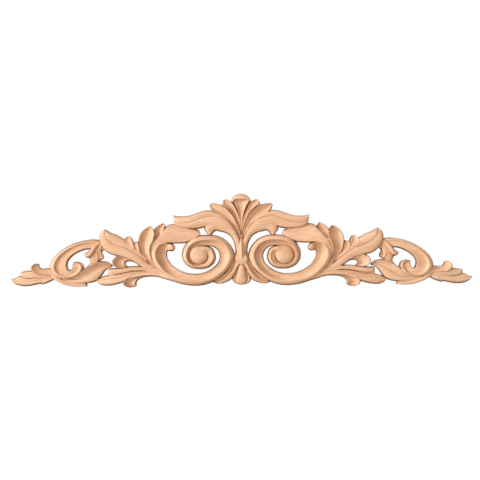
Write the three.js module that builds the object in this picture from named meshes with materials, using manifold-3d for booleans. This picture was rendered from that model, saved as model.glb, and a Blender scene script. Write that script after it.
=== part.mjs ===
// Carved headpiece: one pierced piece of wood with a flat back, mirrored about its centre line.
// Frame in mm: +X along the length, +Z up, the carved front faces -Y, the flat back lies at Y = 0.
// The origin is on the back, on the centre line at half the height.

import * as THREE from "three";
import Module from "manifold-3d";

// Driving dimensions, mm
const LENGTH = 600;
const HEIGHT = 120.7;
const RELIEF = 20;
const FACET_ALONG = 16;
const FACETS_PER_RADIAN = 1.6;
const FACET_ERROR = 0.3;

// The carving is drawn once, as its left half, on a pattern whose x runs right and y runs down.
// Only the shares of the pattern matter: its extents are stretched to the length and height above.
const PATTERN_LEFT = 10.2;
const PATTERN_CENTRE = 241.4;
const PATTERN_TOP = 193.8;
const PATTERN_BOTTOM = 286.8;
const ALONG = LENGTH / (2 * (PATTERN_CENTRE - PATTERN_LEFT));
const UP = HEIGHT / (PATTERN_BOTTOM - PATTERN_TOP);
const PATTERN_MIDDLE = (PATTERN_TOP + PATTERN_BOTTOM) / 2;
// Within this distance of a blade's tip its scoop closes, in pattern units.
const TIP_RIM = 2.6;

// Cross sections: the surface height, as a share of the crest, at v from -1 on edge A to 1 on edge B.
// Each list of v is where the surface is worked out; deep tells how much of a scoop or groove is cut.
const hollow = (depth, at) => ({
  scoops: true,
  at: depth > 0 ? [-1, (at - 1) / 2 - 0.1, at, (at + 1) / 2 + 0.1, 1] : [-1, 1],
  share: (v, deep) => {
    const s = v < at ? (at - v) / (1 + at) : (v - at) / (1 - at);
    return 1 - depth * deep * (1 - s * s);
  },
});
const bead = (edge) => ({
  at: [-1, -0.8, -0.4, 0, 0.4, 0.8, 1],
  share: (v) => edge + (1 - edge) * Math.sqrt(Math.max(1 - v * v, 0)),
});
const ridge = (edge) => ({
  at: [-1, 0, 1],
  share: (v) => 1 - (1 - edge) * Math.abs(v),
});
const bulb = (waist, depth, rise) => ({
  at: [
    -1, (-1 - waist) / 2, -waist, -0.8 * waist, -0.4 * waist,
    0.4 * waist, 0.8 * waist, waist, (1 + waist) / 2, 1,
  ],
  share: (v, deep) => {
    const s = Math.abs(v);
    const dome = Math.sqrt(1 - Math.min(s / waist, 1) ** 2.4);
    const side = rise * (Math.max(s - waist, 0) / (1 - waist)) ** 1.3;
    return 1 - depth * deep * (1 - dome - side);
  },
});
const cove = (edge, crest, low, reach, lift) => ({
  at: [-1, (crest - 1) / 2, crest, crest + (1 - crest) * 0.3 * reach, crest + (1 - crest) * 0.75 * reach, 1],
  share: (v, deep) => {
    if (v <= crest) {
      return 1 - (1 - edge) * ((crest - v) / (crest + 1)) ** 2;
    }
    const u = (v - crest) / (1 - crest);
    const down = 1 - (1 - Math.min(u / reach, 1)) ** 2;
    const up = reach < 1 ? Math.max((u - reach) / (1 - reach), 0) : 0;
    return 1 - deep * ((1 - low) * down - lift * up ** 1.5);
  },
});
const veined = (groove, at, edge) => ({
  at: [-1, (at - 1) / 2 - 0.2, at - 0.25, at, at + 0.25, (at + 1) / 2 + 0.2, 1],
  share: (v, deep) => {
    const s = v < at ? (at - v) / (1 + at) : (v - at) / (1 - at);
    const body = edge + (1 - edge) * Math.sqrt(Math.max(1 - s ** 2.4, 0));
    return body - groove * deep * Math.exp(-(((v - at) / 0.22) ** 2));
  },
});
const creasedA = (edge, groove) => ({
  at: [-1, -0.7, -0.2, 0.5, 1],
  share: (v, deep) => {
    const s = (v + 1) / 2;
    return 1 - (1 - edge) * s ** 3 - groove * deep * Math.exp(-((s / 0.175) ** 1.3));
  },
});
const creasedB = (edge, groove) => ({
  at: [-1, -0.5, 0.2, 0.7, 1],
  share: (v, deep) => creasedA(edge, groove).share(-v, deep),
});

// The value at x of a line drawn through the pairs.
const between = (pairs, x) => {
  const k = pairs.findIndex((pair, i) => i > 0 && x <= pair[0] + 1e-9);
  const [x0, y0] = pairs[k - 1];
  const [x1, y1] = pairs[k];
  return y0 + ((y1 - y0) * (x - x0)) / (x1 - x0);
};

// A scroll whose two edges pass the given radii at each quarter turn.
const volute = ({ centre: [x, y], inner, outer, first, last, crests, depths, sways }) => {
  const radius = (list, turn) => {
    const curve = new THREE.CatmullRomCurve3(list.map((r) => new THREE.Vector3(r, 0, 0)));
    return curve.getPoint(turn / (list.length - 1)).x;
  };
  const rows = [];
  for (let turn = last; turn >= first; turn -= 0.25) {
    const angle = (turn * Math.PI) / 2;
    const near = radius(inner, turn - first);
    const far = radius(outer, turn - first);
    rows.push([
      x + far * Math.cos(angle),
      y + far * Math.sin(angle),
      x + near * Math.cos(angle),
      y + near * Math.sin(angle),
      ...[crests, depths, sways].map((line) => between(line, turn)),
    ]);
  }
  return rows;
};

// The great scroll winds from its hooked upper end, down and round, into the eye.
const SCROLL_TURNS = volute({
  centre: [201, 256.5],
  inner: [5, 6, 6.1, 11, 10.2],
  outer: [10.3, 15, 12.5, 19.3, 21.5],
  first: -1,
  last: 3,
  crests: [[-1, 0.74], [0, 0.78], [3, 0.84]],
  depths: [[-1, 0.3], [0, 0.35], [1, 0.5], [2, 0.7], [3, 0.75]],
  sways: [[-1, 0], [1, -0.3], [2, -0.45], [3, -0.25]],
});
const SCROLL_HOOK = [
  [170.8, 242.6, 169.8, 250.4, 0.76, 0.2, 0.4], [165.5, 241.4, 168.3, 250.4, 0.79, 0.5, 0.4],
  [159.5, 241.2, 167, 251.4, 0.81, 0.8, 0.3], [153.6, 245, 167, 253.4, 0.85, 1, 0.1],
  [150, 251.8, 167.1, 256.6, 0.88, 1], [151, 259.8, 169.2, 260.6, 0.88, 1],
  [155.2, 266.7, 172.2, 264.7, 0.87, 0.85], [161.5, 273.5, 176.4, 267.8, 0.86, 0.6],
  [169.5, 279.5, 181.4, 270.5, 0.85, 0.45, -0.05], [179.3, 283.3, 187.5, 272.6, 0.85, 0.35, -0.1],
  [190.3, 285.4, 194, 273.3, 0.85, 0.35, -0.1], [201.5, 285.3, 200.6, 272.9, 0.85, 0.45, -0.1],
  [212, 282.3, 207.9, 270.5, 0.85, 0.55, -0.1], [220.3, 277.4, 213.8, 266.6, 0.86, 0.65, -0.1],
  [227.2, 271.2, 217.8, 262.2, 0.86, 0.7, -0.05], [232.1, 264.2, 219, 259, 0.86, 0.75, -0.08],
  [234.9, 256.6, 219.5, 255.5, 0.86, 0.75, -0.1], [233.2, 249, 218, 251, 0.86, 0.75, -0.1],
  [229, 242.6, 215.2, 248, 0.86, 0.75, -0.1], [222.9, 237.6, 211.4, 246.4, 0.85, 0.75, -0.15],
  [215.6, 235, 207, 246, 0.85, 0.75, -0.2], [208, 234.4, 203.8, 246, 0.84, 0.75, -0.25],
];

// Paired elements, from the outer tip towards the middle. Edge A and edge B run from root to tip.
const PAIRED = [
  // End leaf tip
  [veined(0.08, 0, 0.72), [
    [54, 270, 55, 277, 0.5], [46, 273, 46, 281.5, 0.56], [37, 275.5, 37, 283.1, 0.56],
    [28, 276.3, 28, 284.8, 0.52], [19.5, 274.2, 19.5, 284.4, 0.48], [14, 276.8, 14, 282.3, 0.44],
    [10.2, 277.7, 10.7, 279.2, 0.42],
  ]],
  // End leaf second blade
  [creasedB(0.8, 0.14), [
    [54, 268, 54, 276, 0.6], [42, 269.5, 42, 277, 0.66], [31.2, 268.8, 31.2, 277.2, 0.64],
    [25.2, 269.5, 25, 276.6, 0.59], [19.9, 270.7, 19.9, 274.8, 0.53],
  ]],
  // End leaf curl
  [cove(0.8, -0.6, 0.62, 1, 0), [
    [54, 275, 52, 266, 0.66], [43, 274.2, 45, 267, 0.72], [35.5, 273.4, 41.5, 267.2, 0.76],
    [30.9, 270.3, 39.7, 266, 0.75], [29.7, 266.4, 38.9, 264.4, 0.7], [31.8, 263.4, 38.6, 263.3, 0.64],
    [35.5, 262.1, 38.6, 262.6, 0.6],
  ]],
  // End leaf under lobe
  [hollow(0.1, 0), [
    [56, 270.5, 55.5, 277.5, 0.56], [48, 272.3, 48.8, 280.9, 0.63], [42.5, 275, 44.5, 282.5, 0.62],
    [39.7, 278.3, 40.7, 283.6, 0.52],
  ]],
  // Small strap
  [cove(0.74, -0.44, 0.8, 0.22, 0.13), [
    [106, 241, 103, 250, 0.5, 0.3], [95, 238.3, 91, 248.5, 0.62, 0.4],
    [84, 239.3, 84.5, 249, 0.72, 0.6], [72, 242.7, 76.4, 252.3, 0.77, 0.8],
    [60.5, 249.3, 70.6, 256.6, 0.8], [52.5, 257, 67.7, 260.8, 0.82], [49, 265.5, 67.2, 264.3, 0.82],
    [50.8, 271.5, 67.8, 266.9, 0.81, 0.9], [56, 276.3, 68.6, 268.2, 0.8, 0.8],
    [64, 278.6, 69.7, 268.7, 0.79, 0.8], [72.5, 277.4, 70.8, 268.2, 0.78, 0.8],
    [79.8, 273.8, 71.5, 267, 0.77], [83.7, 267.8, 71.9, 265.8, 0.76], [82.8, 263.4, 72, 264.9, 0.75],
    [79, 260.9, 71.9, 264, 0.73], [75, 260.6, 71.9, 263, 0.7], [72.6, 261.5, 71.8, 262.4, 0.66],
  ]],
  // Long leaf upper half
  [cove(0.88, -0.72, 0.72, 0.9, 0), [
    [60, 271, 62, 278.5, 0.5], [67, 273.5, 69, 280.4, 0.62], [75.5, 272.5, 78, 279.8, 0.7],
    [83.2, 268, 85, 277.8, 0.73], [90.6, 263, 92, 273.2, 0.72], [98, 260.2, 99.5, 268.3, 0.68],
    [105, 260.3, 105.7, 266, 0.62], [109.8, 262.2, 109.9, 265.3, 0.56],
    [112.3, 264.6, 112.3, 265.4, 0.52],
  ]],
  // Long leaf lower half
  [creasedA(0.84, 0.06), [
    [62, 276.5, 63, 281, 0.56], [72, 278.5, 74, 283, 0.6], [79, 278.6, 84, 282.6, 0.63],
    [85.5, 276.6, 90, 282, 0.64], [92, 272.7, 96.5, 280, 0.63], [98.5, 268.4, 101.3, 275.2, 0.6],
    [104, 265.8, 105.2, 269.6, 0.56], [109.5, 265, 109.6, 266.8, 0.53],
    [112.2, 264.8, 112.3, 265.7, 0.5],
  ]],
  // Small lip
  [creasedA(0.8, 0.1), [
    [47.5, 270, 49.5, 266, 0.6], [51.5, 275.6, 55.5, 272, 0.68], [58, 280.9, 61.5, 276.8, 0.68],
    [68, 284.7, 70, 280, 0.62], [78, 285.8, 79.5, 281.4, 0.56], [86.9, 285.3, 86.4, 281.6, 0.52],
  ]],
  // Bud stem
  [bead(0.8), [
    [96, 240, 104, 243, 0.56], [93.5, 246, 102.5, 248, 0.58], [91, 251.5, 101.6, 252, 0.58],
    [88.8, 257, 100.5, 257.5, 0.58], [89.9, 261.3, 99, 260.6, 0.54], [86, 266, 100, 266, 0.48],
  ]],
  // Bud left lobe
  [bead(0.7), [
    [98.2, 240, 100.4, 243, 0.6], [93.8, 243, 97, 248, 0.7], [90.2, 247, 94, 252.6, 0.75],
    [87.2, 250.9, 91, 256.4, 0.76], [84.8, 252.2, 87.6, 257, 0.73], [83.6, 253.8, 85, 256.2, 0.66],
  ]],
  // Bud right lobe
  [hollow(0.3, 0.2), [
    [98.4, 241, 104.5, 245, 0.64], [96.4, 248, 101.9, 250, 0.72], [95.6, 253.5, 102.4, 253, 0.76],
    [97, 257.8, 103.5, 255, 0.74], [100, 259.8, 103.6, 257.4, 0.66],
  ]],
  // Side leaf lower half
  [creasedA(0.85, 0.08), [
    [160, 271, 157, 275.5, 0.68, 0], [152, 265.7, 148, 272, 0.71, 0.4], [145, 260.5, 139, 265.5, 0.74],
    [137, 254.3, 130, 259.5, 0.76], [127, 248.2, 121, 256.3, 0.78], [117, 244.4, 111, 253.7, 0.78],
    [109.5, 240, 103.3, 248.2, 0.76, 0.8], [105.9, 236.3, 99.3, 241, 0.72, 0.3],
    [104.9, 232.5, 99.3, 233.7, 0.67, 0], [105.1, 230, 102.3, 229.8, 0.63, 0],
    [105.4, 228.6, 104.4, 228.4, 0.6, 0],
  ]],
  // Side leaf upper half
  [creasedB(0.86, 0.06), [
    [146, 256, 147, 262, 0.6], [136, 247, 137, 254.3, 0.68], [125, 238.8, 127, 248.2, 0.73],
    [116.3, 233.7, 117, 244.4, 0.75], [110.6, 231.6, 109.5, 240, 0.74, 0.8],
    [107.4, 229.4, 105.9, 236.3, 0.71, 0.3], [105.2, 228.3, 105, 230.3, 0.63, 0],
  ]],
  // Side leaf second lobe
  [hollow(0.2, 0), [
    [146, 262, 150, 264, 0.66], [137, 254.5, 142, 254.5, 0.74], [132.2, 248, 140.5, 248, 0.78],
    [131.8, 243.5, 139.5, 243.5, 0.78], [134.3, 241.2, 138.8, 240.4, 0.72],
  ]],
  // Side leaf first lobe
  [hollow(0.22, 0), [
    [141, 259, 146, 262, 0.66], [130.5, 251.5, 137.5, 252.5, 0.76], [124, 246.5, 135, 247, 0.82],
    [122.1, 241.5, 133.7, 241.7, 0.83], [124.8, 237.2, 131.6, 236.9, 0.77],
    [127.6, 235.4, 128.7, 235.4, 0.7],
  ]],
  // Side leaf curl
  [cove(0.92, -0.78, 0.7, 0.6, 0.2), [
    [152, 262, 153, 270, 0.56], [141, 255.5, 142, 265.7, 0.62], [132, 254.3, 132.5, 261.3, 0.68],
    [123.5, 254, 127.6, 260.8, 0.72], [116.4, 255.2, 125.9, 261.6, 0.75],
    [111.8, 259.5, 125.3, 262.8, 0.75], [112.6, 264.4, 125.9, 264.1, 0.73],
    [118, 267.5, 126.8, 264.9, 0.7], [125.5, 267, 127.8, 265.3, 0.62],
  ]],
  // Low leaf upper blade
  [veined(0, 0, 0.84), [
    [162, 271.5, 161, 276.5, 0.66], [153, 266.5, 153, 273, 0.68], [142, 265.4, 142, 271, 0.7],
    [132, 265.3, 131, 271.5, 0.7], [122, 266.6, 121, 273.5, 0.69], [114, 267.2, 114, 274.3, 0.65],
    [109.3, 267.6, 109.8, 273.3, 0.6], [107.4, 269, 107.9, 271.2, 0.54],
  ]],
  // Low leaf lower blade
  [veined(0.1, -0.12, 0.84), [
    [166, 275, 166, 279.2, 0.66, 0], [156, 269.5, 156, 276.4, 0.68, 0.5],
    [142, 269.5, 141, 276.5, 0.7], [130, 270.5, 128, 279.6, 0.71], [120, 273, 119.5, 282.8, 0.71],
    [110, 273.8, 110, 284.8, 0.69], [102.5, 275.5, 102.5, 284.6, 0.63], [98, 277.6, 98.2, 282.5, 0.56],
    [95.8, 278.9, 96.1, 279.9, 0.52],
  ]],
  // Low leaf curl
  [cove(0.9, -0.76, 0.58, 0.5, 0.24), [
    [156, 270, 158, 276, 0.56], [145, 271, 147.5, 276.3, 0.64], [134.5, 272.5, 140.5, 277.8, 0.72],
    [126.5, 276, 137.3, 280, 0.78], [122.2, 280.5, 136.1, 282, 0.79], [123, 284.6, 136, 283.4, 0.77],
    [128, 286.8, 136.5, 284, 0.72], [133.8, 286.5, 137.2, 284.3, 0.66],
  ]],
  // Tall leaf
  [hollow(0.42, -0.12), [
    [166, 277.5, 170, 278, 0.56], [156.5, 271, 161, 271, 0.66], [149.5, 265.5, 155, 264, 0.75],
    [144.6, 259, 151.6, 258, 0.82], [141, 252.5, 149.6, 251, 0.87], [138.6, 245.5, 150.2, 245, 0.91],
    [138.3, 238, 153, 239, 0.93], [140.5, 232.3, 154.2, 233.5, 0.93],
    [144.5, 228.2, 153.3, 229.3, 0.9], [149.5, 225.6, 151.5, 226, 0.85],
  ]],
  // Small tall leaf
  [hollow(0.36, 0), [
    [150, 245, 155, 246, 0.62], [151.2, 238, 159, 239.4, 0.72], [152.8, 230.8, 162.4, 233.6, 0.8],
    [155.6, 226.6, 165, 229, 0.84], [160, 223.8, 165.6, 225.4, 0.82],
    [162.8, 222.4, 163.8, 222.9, 0.77],
  ]],
  // Great scroll
  [cove(0.72, -0.36, 0.5, 0.6, 0.14), [...SCROLL_HOOK, ...SCROLL_TURNS]],
  // Hook ball
  [bead(0.78), [
    [167, 243.4, 167.5, 250, 0.7], [169.3, 242.4, 169.3, 250.7, 0.82],
    [171.6, 242.8, 171.3, 251, 0.86], [173.9, 244.4, 173.4, 250.3, 0.84],
    [175.1, 246.6, 174.9, 248.8, 0.78],
  ]],
  // Scroll leaf
  [bead(0.87), [
    [149.9, 250, 153, 251.6, 0.76], [152.2, 242.5, 158, 246.5, 0.8], [157, 235.8, 166, 243.2, 0.79],
    [164, 228.3, 173.4, 243.2, 0.75], [169.5, 223.8, 181, 243, 0.7], [177, 223.6, 187.8, 242.2, 0.67],
    [186, 225.9, 192.8, 240, 0.66], [193.5, 228.6, 197, 238.2, 0.65], [198.8, 229.8, 200.2, 236, 0.62],
    [200.2, 232, 200.6, 234.2, 0.58],
  ]],
  // Crown leaf lower half
  [creasedA(0.8, 0.05), [
    [241.4, 262, 236, 262, 0.66], [241, 250, 235.4, 251, 0.72], [240, 242, 234.3, 244, 0.76],
    [237, 234.5, 230.5, 236.3, 0.8], [232.5, 227, 224.8, 232.7, 0.84],
    [226.5, 220.6, 219, 231.3, 0.86], [218, 217, 213, 229.8, 0.86], [209, 216.3, 206, 227.3, 0.86],
    [200.6, 218.6, 199, 228.6, 0.86], [192, 221.6, 191, 229, 0.86], [184, 222.8, 183, 228.2, 0.86],
    [178.5, 223, 177.6, 226.2, 0.84], [175.6, 222, 175.2, 224.3, 0.81],
    [174.2, 219.2, 173.7, 221, 0.78],
  ]],
  // Crown leaf upper half
  [veined(0, -0.2, 0.87), [
    [240.6, 246, 239.5, 248, 0.6], [236, 229.5, 236.5, 234, 0.7], [229, 221, 230.5, 225, 0.76],
    [220, 214, 222, 218.6, 0.81], [210.5, 210, 212, 216.6, 0.85], [203, 210.6, 204.5, 217.6, 0.86],
    [196, 212.9, 197.6, 220, 0.86], [189.5, 215.1, 190.5, 222.4, 0.86], [182, 215.8, 184, 223.4, 0.85],
    [176.8, 215.5, 177.5, 223.2, 0.83], [174.2, 214.9, 174.4, 220.4, 0.79],
    [173.2, 214.6, 173.4, 217, 0.75],
  ]],
  // Crown leaf claw
  [bead(0.76), [
    [226, 219.5, 229, 234.5, 0.7], [215, 220.5, 220.5, 230.3, 0.78], [209, 221.6, 216.7, 230.6, 0.8],
    [204.8, 225.3, 214.2, 231.8, 0.8], [204.2, 229, 213.1, 233.1, 0.77],
    [206.3, 232.6, 212.2, 234.3, 0.73], [209, 235.4, 211, 235.7, 0.68],
  ]],
  // Palmette outer lobe
  [hollow(0.3, -0.2), [
    [240.2, 244, 241.6, 244, 0.66], [238.2, 236.5, 241.2, 234, 0.74],
    [234.6, 229.5, 239.4, 227.5, 0.8], [229.5, 223, 236.1, 219.5, 0.86],
    [222.5, 217.8, 231.5, 212.3, 0.9], [216, 214.4, 225.8, 206.9, 0.92],
    [212.2, 210.8, 219.5, 204, 0.91], [210.3, 207.2, 214, 203, 0.88], [209.7, 204.4, 211, 203.1, 0.84],
  ]],
  // Palmette inner lobe
  [hollow(0.26, 0), [
    [240.8, 240, 241.6, 240, 0.62], [239.6, 229, 241.4, 227.5, 0.7], [236, 219, 240.4, 218, 0.76],
    [231.5, 211.5, 237.9, 210.5, 0.82], [226, 206.5, 234.8, 204.8, 0.86],
    [223, 203.6, 232.4, 202.2, 0.87], [223, 201.3, 227.6, 199.4, 0.86],
    [224, 199.6, 225.5, 199.2, 0.83],
  ]],
  // Leg
  [bead(0.84), [
    [238.5, 253.6, 242.5, 255, 0.6], [235.5, 260, 241.9, 262, 0.7], [232.8, 267, 238.7, 266.5, 0.74],
    [228.5, 273.5, 235.5, 273, 0.73], [222.5, 278.5, 231.9, 278.8, 0.68],
    [216.5, 280.6, 224.2, 282.9, 0.62], [211, 281.4, 216.5, 283.8, 0.56],
  ]],
  // Root
  [bead(0.78), [
    [140, 268, 140, 275.6, 0.45], [150, 264, 149, 276.2, 0.58], [158, 266.5, 157.5, 276.5, 0.66],
    [167.5, 271.5, 166.5, 279.3, 0.73], [176.5, 276.5, 175.5, 281.9, 0.74],
    [190, 280, 190, 284.4, 0.6],
  ]],
  // Crown web
  [hollow(0, 0), [
    [241.6, 262, 237, 262, 0.5], [241.6, 246, 236, 246, 0.5], [241.6, 232, 233.5, 236, 0.5],
    [240.5, 220, 228, 228.5, 0.5], [236.5, 209, 219, 222.5, 0.5], [229, 203, 211, 217, 0.5],
    [225.5, 201.5, 203, 216, 0.5],
  ]],
  // Crown end web
  [hollow(0, 0), [
    [222, 212, 222, 226, 0.5], [208, 212, 209, 222, 0.6], [196, 214.5, 196, 226, 0.62],
    [184, 217.5, 184, 226, 0.66], [178, 217.3, 178.6, 224.6, 0.68], [175, 216.6, 175.4, 222, 0.66],
  ]],
  // Side web
  [hollow(0, 0), [
    [156, 272, 158, 262, 0.5], [148, 268, 152, 250, 0.5], [138, 262, 143, 244, 0.5],
    [129, 256, 131, 242, 0.5], [120, 251, 122, 242.5, 0.5], [110, 245.5, 113, 238, 0.5],
    [104, 235, 105.8, 231.5, 0.5],
  ]],
  // Low web
  [hollow(0, 0), [
    [158, 268, 158, 275, 0.5], [142, 268, 142, 274.5, 0.5], [128, 268, 127.5, 280, 0.5],
    [116, 269.5, 116, 278, 0.5], [108.5, 270.5, 106, 279, 0.5],
  ]],
  // Tall web
  [hollow(0, 0), [
    [172, 272, 162, 276, 0.5], [160, 262, 151.5, 266, 0.62], [155, 252, 149, 254, 0.7],
    [156, 242, 150.5, 243, 0.72], [158, 237, 152.5, 237, 0.7],
  ]],
  // Scroll web
  [hollow(0, 0), [
    [153.5, 243, 164, 246, 0.5], [160, 231, 172, 241.5, 0.5], [170, 226, 186, 240.5, 0.5],
    [182, 225, 197, 236, 0.5], [196, 228.5, 204, 240, 0.5],
  ]],
  // Small scroll web
  [hollow(0, 0), [
    [47, 271, 54, 279, 0.44], [56, 270.5, 62, 281, 0.5], [68, 273, 72, 283, 0.5],
    [77, 270.5, 82, 283, 0.5], [86, 266.5, 89, 278, 0.5], [99, 263.5, 99, 271, 0.5],
  ]],
  // End web
  [hollow(0, 0), [
    [54, 268, 54, 277, 0.4], [42, 269, 42, 280, 0.4], [32, 270, 32, 281, 0.4],
    [22, 272, 22, 280, 0.38],
  ]],
  // Leg web
  [hollow(0, 0), [
    [241.5, 253.6, 234.6, 253.4, 0.5], [241.5, 262, 232, 262, 0.5], [236, 270, 226, 272, 0.5],
    [230, 277, 221, 276, 0.5], [218, 281.8, 216.5, 279, 0.5], [214, 282.4, 213, 280.5, 0.5],
  ]],
  // Tall foot web
  [hollow(0, 0), [
    [152, 268, 143, 262, 0.5], [150, 258, 142, 252, 0.5], [151, 245, 141, 240, 0.5],
    [157, 236, 146, 233, 0.5],
  ]],
  // Eye web
  [hollow(0, 0), [
    [189, 248, 189, 261, 0.45], [195, 245, 195, 264, 0.45], [203, 244.5, 203, 264, 0.45],
    [209.5, 248, 209.5, 261, 0.45],
  ]],
  // Lip web
  [hollow(0, 0), [
    [231, 203.5, 235, 197.5, 0.5], [241.4, 207, 241.4, 196, 0.5], [251.8, 203.5, 247.8, 197.5, 0.5],
  ]],
  // Pocket web
  [hollow(0, 0), [
    [241.5, 272, 234, 270, 0.5], [241.5, 279, 232, 277, 0.5],
  ]],
  // Eye neck
  [bead(0.92), [
    [215.5, 254, 208.5, 255, 0.62], [214, 249.5, 206.5, 252.5, 0.7],
    [209.8, 246.4, 203.5, 251.5, 0.76], [204, 245.4, 200, 252.5, 0.77], [198, 246.3, 196.5, 254, 0.72],
  ]],
];

// Elements on the centre line; each row is [y, half width, crest share, depth share].
const CENTRED = [
  // Palmette middle lobe
  [hollow(0.22, 0), [
    [236, 0.8, 0.6], [228, 1.2, 0.66], [221, 1.7, 0.74], [215, 3, 0.82], [209, 5, 0.88],
    [204, 7.2, 0.9], [200.5, 9.2, 0.88], [198, 9, 0.86], [196.5, 7.5, 0.86],
  ]],
  // Stem
  [ridge(0.6), [
    [232, 0.8, 0.62], [238, 2.2, 0.74], [243, 4.4, 0.85], [247, 5.8, 0.92], [251, 6.2, 0.92],
    [255, 6.2, 0.87], [259, 5, 0.8], [262, 2.6, 0.72],
  ]],
  // Collar
  [bead(0.92), [
    [251.5, 4.5, 0.62], [254.5, 6.2, 0.7], [257.5, 7.2, 0.76], [260.5, 7.2, 0.77], [263, 5.6, 0.76],
    [264.6, 3, 0.74],
  ]],
  // Middle web
  [hollow(0, 0), [
    [198.5, 6.5, 0.5], [202.4, 9.8, 0.5], [206.5, 7.6, 0.5], [211, 4.6, 0.5], [216, 2.8, 0.5],
    [223, 1.6, 0.5], [232, 1.2, 0.5],
  ]],
  // Pendant
  [bulb(0.6, 0.34, 0.76), [
    [262, 3, 0.6], [264.8, 5, 0.68], [268, 6.2, 0.74], [272, 7.4, 0.78], [275.5, 8.6, 0.8, 0.9],
    [279, 9.4, 0.81, 0.6], [282, 8, 0.79, 0.4], [284, 4.8, 0.73, 0.4], [284.8, 1.6, 0.67, 0.4],
  ]],
];

// The rolled lip over the palmette, from side to side.
const LIP = [bead(0.7), [
  [231.3, 202.6, 233.8, 201.6, 0.84], [231.8, 199.5, 235.2, 200.6, 0.93],
  [234.3, 196.1, 237.4, 200.4, 0.98], [238, 194.2, 239.6, 200.7, 1], [241.4, 193.8, 241.4, 200.9, 1],
  [244.8, 194.2, 243.2, 200.7, 1], [248.5, 196.1, 245.4, 200.4, 0.98],
  [251, 199.5, 247.6, 200.6, 0.93], [251.5, 202.6, 249, 201.6, 0.84],
]];
// The eye of the scroll: centre, radius, crest and edge share.
const EYE = [198.6, 254.5, 8.9, 0.8, 0.58];

const wasm = await Module();
wasm.setup();

const place = (x, y, share) => [
  (x - PATTERN_CENTRE) * ALONG,
  -share * RELIEF,
  (PATTERN_MIDDLE - y) * UP,
];

// Closes a grid of front points down to the flat back as one solid.
const closed = (grid) => {
  const across = grid[0].length;
  const count = grid.length * across;
  const verts = [];
  for (const row of grid) {
    for (const p of row) {
      verts.push(...place(...p));
    }
  }
  for (const row of grid) {
    for (const [x, y] of row) {
      verts.push(...place(x, y, 0));
    }
  }
  let area = 0;
  for (let i = 0; i + 1 < grid.length; i += 1) {
    const [a, b] = [grid[i][0], grid[i][across - 1]];
    const [c, d] = [grid[i + 1][0], grid[i + 1][across - 1]];
    area += (d[0] - a[0]) * (c[1] - b[1]) - (d[1] - a[1]) * (c[0] - b[0]);
  }
  const faces = [];
  const quad = (a, b, c, d) => {
    const loop = area < 0 ? [a, b, c, a, c, d] : [a, c, b, a, d, c];
    faces.push(...loop);
  };
  for (let i = 0; i + 1 < grid.length; i += 1) {
    for (let j = 0; j + 1 < across; j += 1) {
      const k = i * across + j;
      quad(k, k + 1, k + across + 1, k + across);
      quad(count + k, count + k + across, count + k + across + 1, count + k + 1);
    }
    const k = i * across;
    quad(k + across, count + k + across, count + k, k);
    const m = k + across - 1;
    quad(m, count + m, count + m + across, m + across);
  }
  for (let j = 0; j + 1 < across; j += 1) {
    quad(j, count + j, count + j + 1, j + 1);
    const k = (grid.length - 1) * across + j;
    quad(k + 1, count + k + 1, count + k, k);
  }
  const mesh = new wasm.Mesh({
    numProp: 3,
    vertProperties: new Float32Array(verts),
    triVerts: new Uint32Array(faces),
  });
  return new wasm.Manifold(mesh);
};

// How far a curve turns in all, in radians.
const turning = (curve) => {
  let sum = 0;
  for (let i = 1; i <= 24; i += 1) {
    sum += curve.getTangent((i - 1) / 24).angleTo(curve.getTangent(i / 24));
  }
  return sum;
};

// A blade between two edge curves. Each row is [Ax, Ay, Bx, By, crest share of the relief], then if need be
// how much of the scoop or groove is cut there, and how far the section sways towards edge B.
const blade = ([section, rows]) => {
  const edge = (i) => new THREE.CatmullRomCurve3(
    rows.map((r) => new THREE.Vector3(r[i], r[i + 1], 10 * r[4])),
  );
  const [a, b] = [edge(0), edge(2)];
  const deeps = rows.map((r, i) => [i, r[5] ?? 1]);
  const sways = rows.map((r, i) => [i, r[6] ?? 0]);
  const reach = Math.max(a.getLength(), b.getLength());
  const bends = Math.max(turning(a), turning(b)) * FACETS_PER_RADIAN;
  const steps = Math.max(3, Math.round((reach * ALONG) / FACET_ALONG + bends));
  const grid = [];
  for (let i = 0; i <= steps; i += 1) {
    const [p, q] = [a.getPoint(i / steps), b.getPoint(i / steps)];
    const row = (i / steps) * (rows.length - 1);
    const sway = between(sways, row);
    const near = section.scoops ? Math.min(((1 - i / steps) * reach) / TIP_RIM, 1) : 1;
    const deep = between(deeps, row) * (1 - (1 - near) ** 2);
    grid.push(section.at.map((v) => {
      const spot = sway === 0 ? v : (1 - Math.sqrt(1 - 4 * sway * (v - sway))) / (2 * sway);
      const m = p.clone().lerp(q, (spot + 1) / 2);
      return [m.x, m.y, (m.z / 10) * section.share(v, deep)];
    }));
  }
  return closed(grid);
};

const flip = (rows) => rows.map(([ax, ay, bx, by, ...rest]) => [
  2 * PATTERN_CENTRE - ax,
  ay,
  2 * PATTERN_CENTRE - bx,
  by,
  ...rest,
]);
const widths = (rows) => rows.map(([y, half, ...rest]) => [
  PATTERN_CENTRE - half,
  y,
  PATTERN_CENTRE + half,
  y,
  ...rest,
]);

const solids = [
  ...PAIRED.map(blade),
  ...PAIRED.map(([section, rows]) => blade([section, flip(rows)])),
  ...CENTRED.map(([section, rows]) => blade([section, widths(rows)])),
  blade(LIP),
];

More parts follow.
